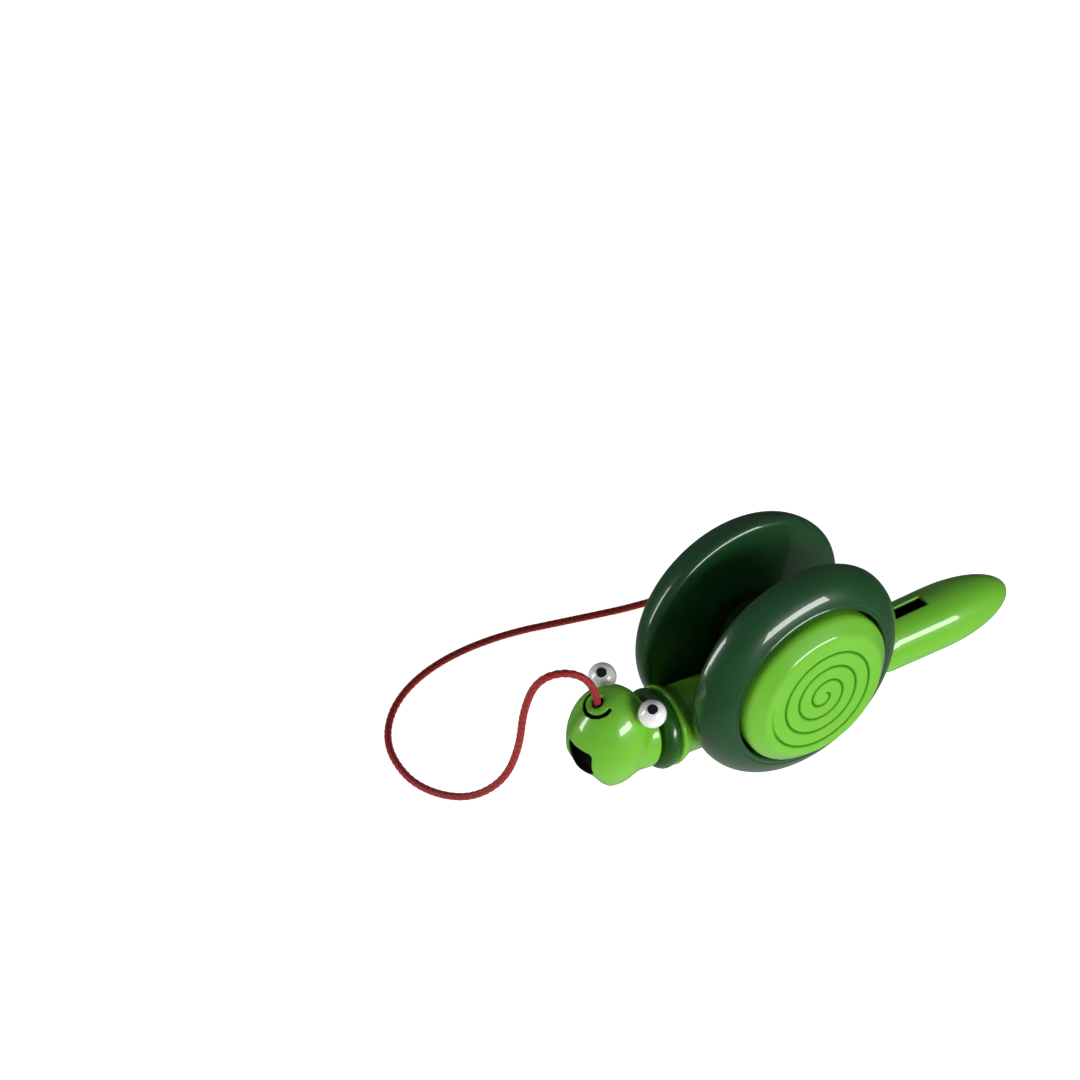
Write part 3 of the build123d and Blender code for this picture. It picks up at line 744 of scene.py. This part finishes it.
def enamel(name, bright, deep, roughness=0.12):
    """A plain gloss enamel with a trace of unevenness."""
    material, tree, shader = blank(name, Coat_Weight=1.0, Coat_Roughness=0.03, Coat_IOR=1.5)
    cloud = noise(tree, 500.0, 2.0, Vector=surface_place(tree))
    tree.links.new(blended(tree, cloud, deep, bright), shader.inputs["Base Color"])
    tree.links.new(spread(tree, cloud, roughness, roughness + 0.1), shader.inputs["Roughness"])
    bumps(tree, shader, (cloud, 0.006))
    return material


def yarn(name, bright, deep):
    """Braided cord: fine fibres along the strands, and painted shade that makes it darker between them."""
    material, tree, shader = blank(name, Roughness=0.62, Sheen_Weight=0.12, Sheen_Roughness=0.5)
    fibre = noise(tree, 4200.0, 3.0, Vector=surface_place(tree))
    raised = add(tree, "Attribute", attribute_name="raised").outputs["Fac"]
    # The low parts between the strands take the deep red: painted shade.
    share = maths(tree, "MULTIPLY", raised, maths(tree, "MULTIPLY_ADD", fibre, 0.6, 0.6))
    tree.links.new(blended(tree, share, deep, bright), shader.inputs["Base Color"])
    bumps(tree, shader, (fibre, 0.03))
    return material


LIGHT_GREEN, LIGHT_GREEN_DEEP = colour(122, 202, 50), colour(108, 188, 38)
DARK_GREEN, DARK_GREEN_DEEP = colour(26, 82, 40), colour(18, 66, 30)
# The neck ring's green is the light green lacquer as it looks in shade: painted shade.
RING_SHADE_GREEN, RING_SHADE_GREEN_DEEP = colour(30, 96, 18), colour(22, 78, 12)
# A darker green laid into the caps' spiral grooves: painted shade.
GROOVE_SHADE_GREEN = colour(40, 118, 14)
# Black for the paint in the mouth and on the lip, and for painted shade in the head's groove and hole and in
# the tail's slot.
BLACK_PAINT_AND_SHADE = colour(8, 9, 8)
ALONG_AXLE = Vector((1, 0, 0))


def light_lacquer(name, side, upright=False, mark=None, gloss=1.0):
    """Light green on a piece that was turned about its own side axes."""
    axis = Vector(side.up if upright else side.aft)
    return lacquer(name, LIGHT_GREEN, LIGHT_GREEN_DEEP, Vector(side.place), axis, mark, BLACK_PAINT_AND_SHADE, gloss)


# ---------------------------------------------------------------- pieces


def finish_piece(piece, material, body, slot, *replaced):
    """Give a piece its material, its body and the CAD nodes that it stands for; the slot is not used."""
    piece.data.materials.clear()
    piece.data.materials.append(material)
    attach(piece, body)
    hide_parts(*replaced)
    return piece


def dull_where(piece, mark, least, material):
    """Give a second, duller material to the faces where a mark is strong."""
    mesh = piece.data
    mesh.materials.append(material)
    values = np.empty(len(mesh.vertices), np.float32)
    mesh.attributes[mark].data.foreach_get("value", values)
    for face in mesh.polygons:
        if values[list(face.vertices)].mean() > least:
            face.material_index = 1


def make_wheels():
    """Both wheels and their caps, turned about the axle."""
    dark = lacquer("wheel_lacquer", DARK_GREEN, DARK_GREEN_DEEP, Vector(AXLE), ALONG_AXLE)
    # The caps mix the darker green into their spiral grooves as painted shade.
    green, dull = [
        lacquer(name, LIGHT_GREEN, LIGHT_GREEN_DEEP, Vector(AXLE), ALONG_AXLE, "groove", GROOVE_SHADE_GREEN, gloss)
        for name, gloss in (("cap_lacquer", 1.0), ("cap_groove_shade_lacquer", 0.0))
    ]
    middle_line = AXLE * (0, 1, 1)
    for name, hand in (("left", 1), ("right", -1)):
        axis = (hand, 0, 0)
        wheel = turned(f"wheel_{name}_turned", wheel_outline(), middle_line, axis, closed=True)
        finish_piece(wheel, dark, "wheelset", "dark_green", "wheel_" + name)
        cap = turned(f"shell_cap_{name}_turned", cap_outline(), middle_line, axis, spiral_relief(hand))
        finish_piece(cap, green, "wheelset", "light_green", "shell_cap_" + name)
        dull_where(cap, "groove", 0.1, dull)


def make_body():
    """The trunk, the axle block and the neck ring."""
    low, high = corners("trunk")
    trunk = surface("trunk_turned", trunk_distance, low, high, cell=0.5)
    finish_piece(trunk, light_lacquer("trunk_lacquer", spine), "body", "light_green", "trunk")
    low, high = corners("axle_block")
    block = surface("axle_block_rounded", block_distance, low, high, cell=0.45)
    dark = lacquer("block_lacquer", DARK_GREEN, DARK_GREEN_DEEP, Vector(AXLE), ALONG_AXLE)
    finish_piece(block, dark, "body", "dark_green", "axle_block")
    low, high = corners("neck_ring")
    ring = surface("neck_ring_turned", ring_distance, low, high, cell=0.35)
    # The ring gets a darker copy of the light green: painted shade.
    dark = lacquer("ring_painted_shade_lacquer", RING_SHADE_GREEN, RING_SHADE_GREEN_DEEP, Vector(NECK_PIN), Vector(spine.aft))
    finish_piece(ring, dark, "body", "dark_green", "neck_ring")


def make_head():
    """The head in gloss green, with matt black paint in its mouth and lip, and matt black painted shade in
    its groove and hole.
    """
    low, high = corners("head")
    head = surface("head_carved", head_distance, low, high, cell=0.33, marks={"black_and_shade": head_black_and_shade})
    green = light_lacquer("head_lacquer", egg, upright=True, mark="black_and_shade")
    finish_piece(head, green, "head", "light_green", "head")
    dull_where(head, "black_and_shade", 0.5, light_lacquer("mouth_paint_and_shade", egg, upright=True, mark="black_and_shade", gloss=0.0))


def make_tail():
    """The tail in gloss green, with matt black painted shade inside its slot."""
    low, high = corners("tail")
    tail = surface("tail_turned", tail_distance, low, high, cell=0.42, marks={"black_and_shade": tail_slot_shade})
    finish_piece(tail, light_lacquer("tail_lacquer", tail_side, mark="black_and_shade"), "tail", "light_green", "tail")
    dull_where(tail, "black_and_shade", 0.5, light_lacquer("slot_painted_shade", tail_side, mark="black_and_shade", gloss=0.0))


def make_eyes():
    """White beads with a domed black pupil, each turned about its gaze."""
    white = enamel("eye_enamel", colour(254, 253, 250), colour(246, 244, 240))
    black = enamel("pupil_enamel", colour(10, 10, 11), colour(4, 4, 5), 0.06)
    for name, place in eye_places.items():
        gaze = np.array(GAZE[name]) / np.linalg.norm(GAZE[name])
        edge = asin(PUPIL_RADIUS / EYE_RADIUS)
        swing = np.linspace(pi, edge, 60)
        ball = EYE_RADIUS * np.stack((np.cos(swing), np.sin(swing)), 1)
        pocket = [(ball[-1, 0] - 0.25, PUPIL_RADIUS - 0.08), (ball[-1, 0] - 0.25, 0)]
        bead = turned(f"eye_{name}_bead", np.concatenate((ball, pocket)), place, gaze)
        finish_piece(bead, white, "head", "eye_white", "eye_" + name)
        swing = np.linspace(edge, 0, 14)
        dome = (EYE_RADIUS + 0.05) * np.stack((np.cos(swing), np.sin(swing) * 0.97), 1)
        foot = [(ball[-1, 0] - 0.2, 0), (ball[-1, 0] - 0.2, dome[0, 1])]
        disc = turned(f"pupil_{name}_disc", np.concatenate((foot, dome)), place, gaze)
        finish_piece(disc, black, "head", "pupil_black", "pupil_" + name)


def dress_hidden_nodes():
    """CAD nodes whose plain shape is right keep it, and get their finish."""
    bench = {
        "axle": bare_wood("axle_wood", colour(226, 190, 140), colour(186, 146, 98), (0.1, 1, 1)),
        "block_dowels": bare_wood("dowel_wood", colour(226, 190, 140), colour(186, 146, 98), (1, 1, 0.1)),
        "eye_peg": bare_wood("peg_wood", colour(240, 220, 180), colour(214, 186, 140), (0.1, 1, 1)),
        "head_tongue": plywood("head_tongue_ply"),
        "tail_tongue": plywood("tail_tongue_ply"),
        "tail_pin": steel("tail_pin_steel"),
        "neck_pin": lacquer("neck_pin_lacquer", DARK_GREEN, DARK_GREEN_DEEP, Vector(NECK_PIN), ALONG_AXLE),
    }
    fibre = fibre_board("washer_fibre_board")
    bench.update(washer_left=fibre, washer_right=fibre)
    for node, material in bench.items():
        mesh = frame["nodes"][node].data
        mesh.materials.clear()
        mesh.materials.append(material)


# ---------------------------------------------------------------- cord

COIL_CENTRE = np.array((-41.0, 14.0))
COIL_OUTER_RADIUS = 13.0
COIL_INNER_RADIUS = 8.0
COIL_LAYER_RADIUS = 8.6       # where the second layer starts, on top of the first
COIL_STEPS = 20               # points to a turn
CORD_STEP = 0.33
CORD_SIDES = 24
BRAID_STRANDS = 4
BRAID_PITCH = 2.0
BRAID_RELIEF = 0.16


def coil_points():
    """The put-away length: a flat spiral wound inwards, then a second layer wound outwards on top."""
    start = np.array(CORD_ROUTE[-1][:2]) - COIL_CENTRE
    bearing = np.arctan2(start[1], start[0])
    lower_turns = (COIL_OUTER_RADIUS - COIL_INNER_RADIUS + 1) / (2 * CORD_RADIUS)
    total_turns = lower_turns + 1.6
    points = []
    for step in range(1, int(total_turns * COIL_STEPS) + 1):
        turns = step / COIL_STEPS
        radius = COIL_OUTER_RADIUS - 2 * CORD_RADIUS * min(turns, lower_turns)
        climb = float(smooth_step(turns, lower_turns - 0.2, lower_turns + 0.1))
        upper = COIL_LAYER_RADIUS + 2 * CORD_RADIUS * max(turns - lower_turns, 0)
        radius = radius + (upper - radius) * climb
        angle = bearing - 2 * pi * turns
        points.append((COIL_CENTRE[0] + radius * cos(angle), COIL_CENTRE[1] + radius * sin(angle),
                       CORD_RADIUS * (1 + 2 * climb)))
    return points


def nurbs_line(name, points, resolution=10):
    """Points along the smooth NURBS spline that a route controls, in millimetres."""
    curve = bpy.data.curves.new(name, "CURVE")
    curve.dimensions = "3D"
    curve.resolution_u = resolution
    spline = curve.splines.new("NURBS")
    spline.points.add(len(points) - 1)
    for control, place in zip(spline.points, points):
        control.co = (*(np.array(place) * MM), 1.0)
    spline.order_u = 3
    spline.use_endpoint_u = True
    holder = bpy.data.objects.new(name, curve)
    bpy.context.scene.collection.objects.link(holder)
    bpy.context.view_layer.update()
    line = bpy.data.meshes.new_from_object(holder)
    places = np.array([vertex.co for vertex in line.vertices]) / MM
    bpy.data.objects.remove(holder)
    bpy.data.curves.remove(curve)
    bpy.data.meshes.remove(line)
    return places


def evenly(line, step):
    """The same line with its points one step apart."""
    travel = np.concatenate(([0], np.cumsum(np.linalg.norm(np.diff(line, axis=0), axis=1))))
    marks = np.linspace(0, travel[-1], max(int(travel[-1] / step), 2))
    return np.stack([np.interp(marks, travel, line[:, k]) for k in range(3)], 1)


def braid(line, radius):
    """Points, faces and strand heights of a braided tube along a line."""
    ahead = np.gradient(line, axis=0)
    ahead /= np.linalg.norm(ahead, axis=1, keepdims=True)
    side = np.cross(ahead[0], (0.3, 0.5, 0.8))
    sides = []
    for direction in ahead:
        side = side - direction * (side @ direction)
        side = side / np.linalg.norm(side)
        sides.append(side)
    sides = np.array(sides)
    others = np.cross(ahead, sides)
    travel = np.concatenate(([0], np.cumsum(np.linalg.norm(np.diff(line, axis=0), axis=1))))[:, None]
    angle = np.linspace(0, 2 * pi, CORD_SIDES, endpoint=False)[None, :]
    lay = 2 * pi * travel / BRAID_PITCH
    one, other = np.sin((BRAID_STRANDS * angle + lay) / 2), np.sin((BRAID_STRANDS * angle - lay) / 2)
    raised = np.abs(one * other) ** 0.5
    reach = radius * (1 - BRAID_RELIEF) + radius * BRAID_RELIEF * raised
    points = (line[:, None] + (reach * np.cos(angle))[..., None] * sides[:, None]
              + (reach * np.sin(angle))[..., None] * others[:, None])
    rows = len(line)
    index = np.arange(rows * CORD_SIDES).reshape(rows, CORD_SIDES)
    low, high = index[:-1], index[1:]
    quads = np.stack((low, np.roll(low, -1, 1), np.roll(high, -1, 1), high), -1).reshape(-1, 4)
    faces = quads.tolist() + [index[0, ::-1].tolist(), index[-1].tolist()]
    return points.reshape(-1, 3), faces, raised.ravel()


def knot_line(place, up, size):
    """The closed run of an overhand knot about a place."""
    up = np.array(up, float) / np.linalg.norm(up)
    side = np.cross(up, (0.2, 1.0, 0.1))
    side /= np.linalg.norm(side)
    other = np.cross(up, side)
    turn = np.linspace(0, 2 * pi, 90)[:, None]
    flat = (np.sin(turn) + 2 * np.sin(2 * turn)) * side + (np.cos(turn) - 2 * np.cos(2 * turn)) * other
    return place + size * (flat - 1.1 * np.sin(3 * turn) * up)


def braided_piece(name, *runs):
    """One mesh of several braided runs of (line, radius)."""
    points, faces, raised, count = [], [], [], 0
    for line, radius in runs:
        run_points, run_faces, run_raised = braid(evenly(line, CORD_STEP), radius)
        points.append(run_points)
        faces += [[i + count for i in face] for face in run_faces]
        raised.append(run_raised)
        count += len(run_points)
    return mesh_piece(name, np.concatenate(points), faces, None, {"raised": np.concatenate(raised)})


def make_tie():
    """A flat band closed round one side of the coil."""
    low, high = corners("cord_tie")
    centre, half = (low + high) / 2, (high - low) / 2

    def distance(points):
        arm = points - centre
        shell = np.abs(rounded_slab(arm[..., 1], arm[..., 2], (half[1] - 0.3, half[2] - 0.3), 1.4)) - 0.3
        return common(shell, np.abs(arm[..., 0]) - half[0], 0.2)

    tie = surface("cord_tie_band", distance, low, high, cell=0.3)
    band = enamel("tie_band_plastic", colour(240, 240, 236), colour(226, 226, 220), 0.4)
    return finish_piece(tie, band, "body", "tie_white", "cord_tie")


def make_cord():
    """The braided cord with its two knots and the coil's tie."""
    red = yarn("red_braid", colour(190, 12, 10), colour(104, 2, 2))
    line = evenly(nurbs_line("cord_route", CORD_ROUTE + coil_points()), CORD_STEP)
    cord = braided_piece("cord_braided", (line, CORD_RADIUS))
    cord.data.materials.append(red)
    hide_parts("cord_drop", "cord_run", "cord_coil")
    nose_exit = np.array(CORD_ROUTE[0])
    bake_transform(cord)
    inner = np.array([bore.world(0, 2.5), nose_exit])
    knot = knot_line(bore.world(0, 2.2), bore.up, 0.62)
    anchor = braided_piece("cord_anchor_knot", (knot, 0.8 * CORD_RADIUS), (inner, CORD_RADIUS))
    finish_piece(anchor, red, "head", "red_cord", "cord_anchor")
    knot = knot_line(line[-1] + (0, 0, 0.8), (0, 0.3, 1), 0.66)
    end = braided_piece("cord_end_overhand", (knot, 0.85 * CORD_RADIUS))
    finish_piece(end, red, "body", "red_cord", "cord_end_knot")
    tie = make_tie()


# ---------------------------------------------------------------- stage, light and camera

# The camera stands this far round, up and rolled, and this far from the axle along its own axes.
CAMERA_AZIMUTH, CAMERA_ELEVATION, CAMERA_ROLL = 58.949, 41.195, -3.283
CAMERA_STEP = (-56.182, 25.333, 726.384)
CAMERA_LENS, CAMERA_SENSOR = 97.3, 36.0


STUDIO_RADIUS = 4000.0
STUDIO_SIDES = 96


def camera_axes(azimuth, elevation, roll=0.0):
    """Right, up and back of a view from that direction."""
    azimuth, elevation, roll = radians(azimuth), radians(elevation), radians(roll)
    back = Vector((sin(azimuth) * cos(elevation), -cos(azimuth) * cos(elevation), sin(elevation)))
    level = Vector((cos(azimuth), sin(azimuth), 0))
    above = back.cross(level)
    return cos(roll) * level + sin(roll) * above, -sin(roll) * level + cos(roll) * above, back


def make_camera():
    """A camera at the photograph's place, angle and lens."""
    right, up, back = camera_axes(CAMERA_AZIMUTH, CAMERA_ELEVATION, CAMERA_ROLL)
    data = bpy.data.cameras.new("camera")
    data.lens, data.sensor_width = CAMERA_LENS, CAMERA_SENSOR
    camera = bpy.data.objects.new("camera", data)
    place = Vector(AXLE) + CAMERA_STEP[0] * right + CAMERA_STEP[1] * up + CAMERA_STEP[2] * back
    camera.matrix_world = Matrix.Translation(place * MM) @ Matrix((right, up, back)).transposed().to_4x4()
    bpy.context.scene.collection.objects.link(camera)
    bpy.context.scene.camera = camera


def make_floor():
    """A pale floor and a wall far behind it, which glow evenly, so that only soft shadows show on them."""
    material, tree, shader = blank("studio_paper", Roughness=0.9, Emission_Strength=0.93)
    grain = add(tree, "TexNoise", {"Vector": surface_place(tree), "Scale": 40.0}).outputs["Fac"]
    paper = blended(tree, grain, (0.90, 0.90, 0.90, 1), (0.92, 0.92, 0.92, 1))
    tree.links.new(paper, shader.inputs["Base Color"])
    shader.inputs["Emission Color"].default_value = (1, 1, 1, 1)
    shader.inputs["Specular IOR Level"].default_value = 0.0
    angle = np.linspace(0, 2 * pi, STUDIO_SIDES, endpoint=False)
    foot = np.stack((STUDIO_RADIUS * np.cos(angle), STUDIO_RADIUS * np.sin(angle), 0 * angle), 1)
    index = list(range(STUDIO_SIDES))
    ahead = index[1:] + index[:1]
    wall = [[a, b, b + STUDIO_SIDES, a + STUDIO_SIDES] for a, b in zip(index, ahead)]
    floor = mesh_piece("floor", foot, [index])
    backdrop = mesh_piece("backdrop", np.concatenate((foot, foot + (0, 0, STUDIO_RADIUS))), wall)
    for piece in (floor, backdrop):
        piece.data.materials.append(material)
        piece.visible_glossy = False
    backdrop.visible_diffuse = False
    backdrop.visible_shadow = False


def softbox(name, azimuth, elevation, distance, width, height, power):
    """A soft rectangular light aimed at the toy from a direction."""
    right, up, back = camera_axes(azimuth, elevation)
    data = bpy.data.lights.new(name, "AREA")
    data.shape = "RECTANGLE"
    data.size, data.size_y, data.energy = width, height, power
    light = bpy.data.objects.new(name, data)
    place = Vector(AXLE) * MM + back * distance
    light.matrix_world = Matrix.Translation(place) @ Matrix((right, up, back)).transposed().to_4x4()
    bpy.context.scene.collection.objects.link(light)


def make_world():
    """A dim studio: grey overhead, nearly black to the sides, and bright straight below like the floor."""
    world = bpy.data.worlds.new("studio")
    world.use_nodes = True
    tree = world.node_tree
    height = add(tree, "SeparateXYZ", {0: add(tree, "TexCoord").outputs["Generated"]}).outputs[2]
    shade = add(tree, "ValToRGB", {0: maths(tree, "MULTIPLY_ADD", height, 0.5, 0.5)})
    ramp = shade.color_ramp
    ramp.elements[0].position, ramp.elements[0].color = 0.0, (0.34, 0.34, 0.34, 1)
    ramp.elements[1].position, ramp.elements[1].color = 0.95, (0.11, 0.12, 0.14, 1)
    for place, grey in ((0.12, 0.20), (0.26, 0.05), (0.50, 0.03), (0.60, 0.08)):
        ramp.elements.new(place).color = (grey, grey, grey, 1)
    background = tree.nodes["Background"]
    tree.links.new(shade.outputs[0], background.inputs["Color"])
    bpy.context.scene.world = world


def make_lights():
    """Two low softboxes, whose reflections are the highlights on the lacquer."""
    bpy.context.scene.view_settings.view_transform = "Standard"
    softbox("softbox_front", azimuth=-28, elevation=14, distance=1.1, width=0.22, height=0.70, power=4.5)
    softbox("softbox_side", azimuth=106, elevation=12, distance=1.2, width=0.95, height=0.32, power=10.5)


make_camera()
make_cord()
make_wheels()
make_body()
make_head()
make_tail()
make_eyes()
dress_hidden_nodes()
make_floor()
make_world()
make_lights()
